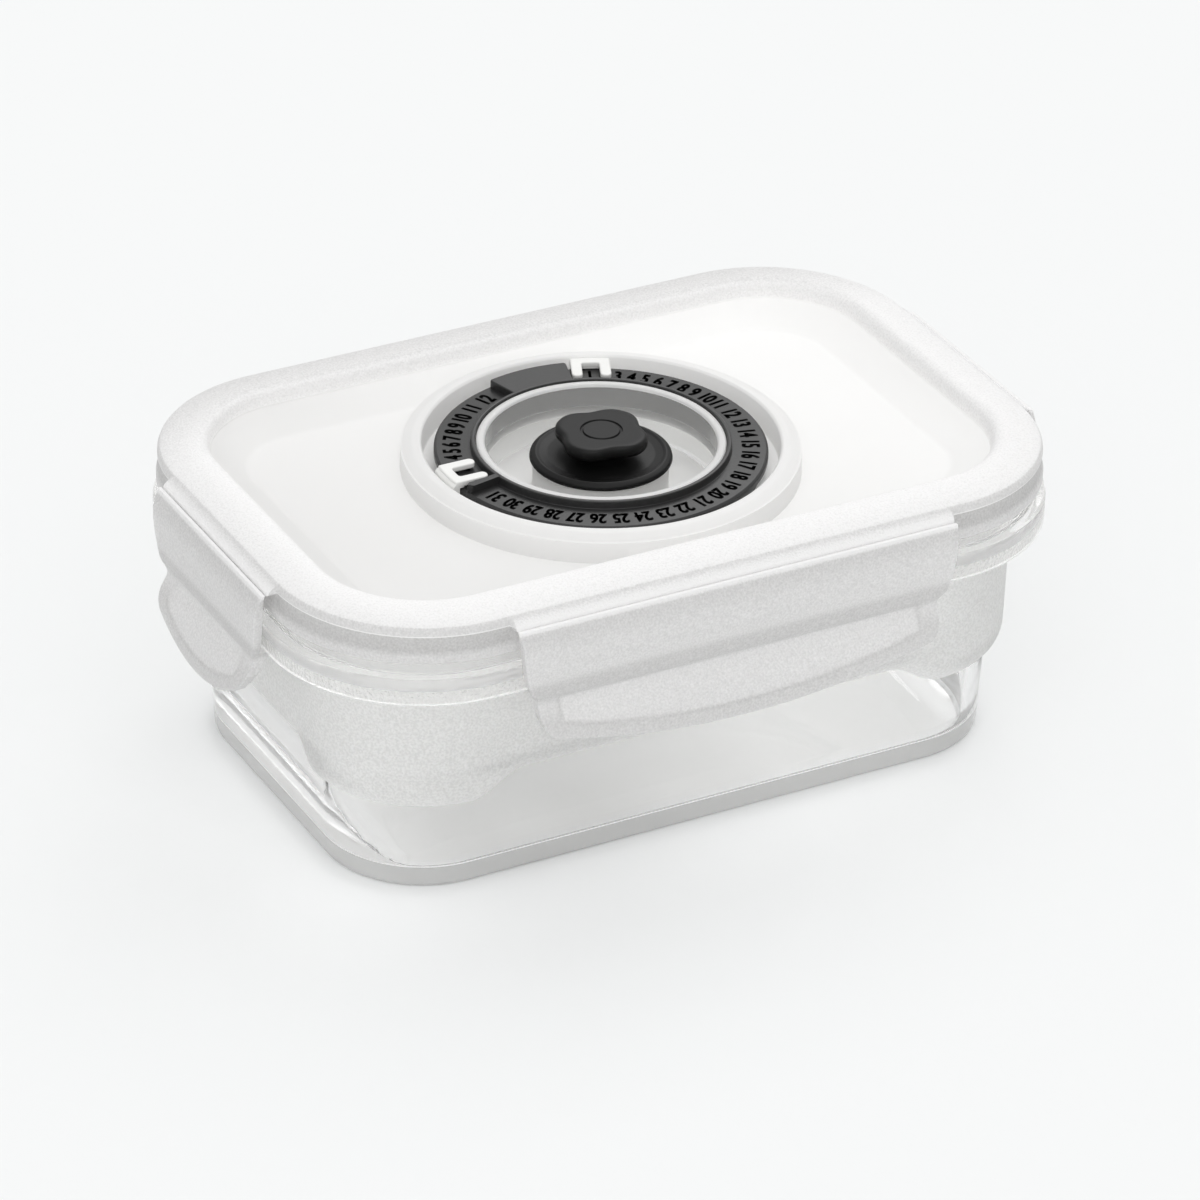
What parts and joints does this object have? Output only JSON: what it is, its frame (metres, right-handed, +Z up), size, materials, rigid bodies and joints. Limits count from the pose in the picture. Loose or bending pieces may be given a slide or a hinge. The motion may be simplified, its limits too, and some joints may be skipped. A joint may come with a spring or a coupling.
{
  "type": "vacuum seal canister",
  "caption": "Rectangular food canister with a clear box, frosted clip-down lid, date ring with pointers and a silicone release valve.",
  "frame": {"origin": "centre of the underside of the base, on the surface that the canister stands on", "axes": "+Z up, +X along the long sides, -Y towards the front, the side that faces the camera"},
  "size_m": [0.1572, 0.1084, 0.0584],
  "materials": {
    "clear_plastic": "clear, glossy, frosted in its upper band",
    "frosted_plastic": "frosted, slightly translucent, fine grain",
    "lid_panel_plastic": "smooth, glossy, slightly translucent",
    "gasket_silicone": "soft satin",
    "ring_plastic": "fine matte",
    "pointer_plastic": "satin",
    "valve_silicone": "matte silicone"
  },
  "bodies": {
    "container": {"container_body": "clear_plastic"},
    "lid": {"lid_frame": "frosted_plastic", "lid_panel": "lid_panel_plastic", "lid_gasket": "gasket_silicone", "date_ring": "ring_plastic", "living_hinge_front": "frosted_plastic", "living_hinge_back": "frosted_plastic", "living_hinge_left": "frosted_plastic", "living_hinge_right": "frosted_plastic"},
    "front_flap": {"flap_front": "frosted_plastic"},
    "back_flap": {"flap_back": "frosted_plastic"},
    "left_flap": {"flap_left": "frosted_plastic"},
    "right_flap": {"flap_right": "frosted_plastic"},
    "month_pointer_body": {"month_pointer": "pointer_plastic"},
    "day_pointer_body": {"day_pointer": "pointer_plastic"},
    "valve": {"release_valve": "valve_silicone"}
  },
  "joints": [
    {"name": "lid_lift", "type": "slide", "parent": "container", "child": "lid", "axis": [0, 0, 1], "range_m": [0, 0.06]},
    {"name": "flap_front_turn", "type": "hinge", "parent": "lid", "child": "front_flap", "pos_m": [0, -0.0509, 0.0547], "axis": [-1, 0, 0], "range_deg": [0, 160]},
    {"name": "flap_back_turn", "type": "hinge", "parent": "lid", "child": "back_flap", "pos_m": [0, 0.0509, 0.0547], "axis": [1, 0, 0], "range_deg": [0, 160]},
    {"name": "flap_left_turn", "type": "hinge", "parent": "lid", "child": "left_flap", "pos_m": [-0.0752, 0, 0.0547], "axis": [0, 1, 0], "range_deg": [0, 160]},
    {"name": "flap_right_turn", "type": "hinge", "parent": "lid", "child": "right_flap", "pos_m": [0.0752, 0, 0.0547], "axis": [0, -1, 0], "range_deg": [0, 160]},
    {"name": "month_pointer_turn", "type": "hinge", "parent": "lid", "child": "month_pointer_body", "pos_m": [0, 0, 0.0547], "axis": [0, 0, -1], "range_deg": [0, 65]},
    {"name": "day_pointer_turn", "type": "hinge", "parent": "lid", "child": "day_pointer_body", "pos_m": [0, 0, 0.0547], "axis": [0, 0, -1], "range_deg": [0, 226]},
    {"name": "valve_pull", "type": "slide", "parent": "lid", "child": "valve", "axis": [0, 0, 1], "range_m": [0, 0.002], "stiffness_N_per_m": 500}
  ]
}
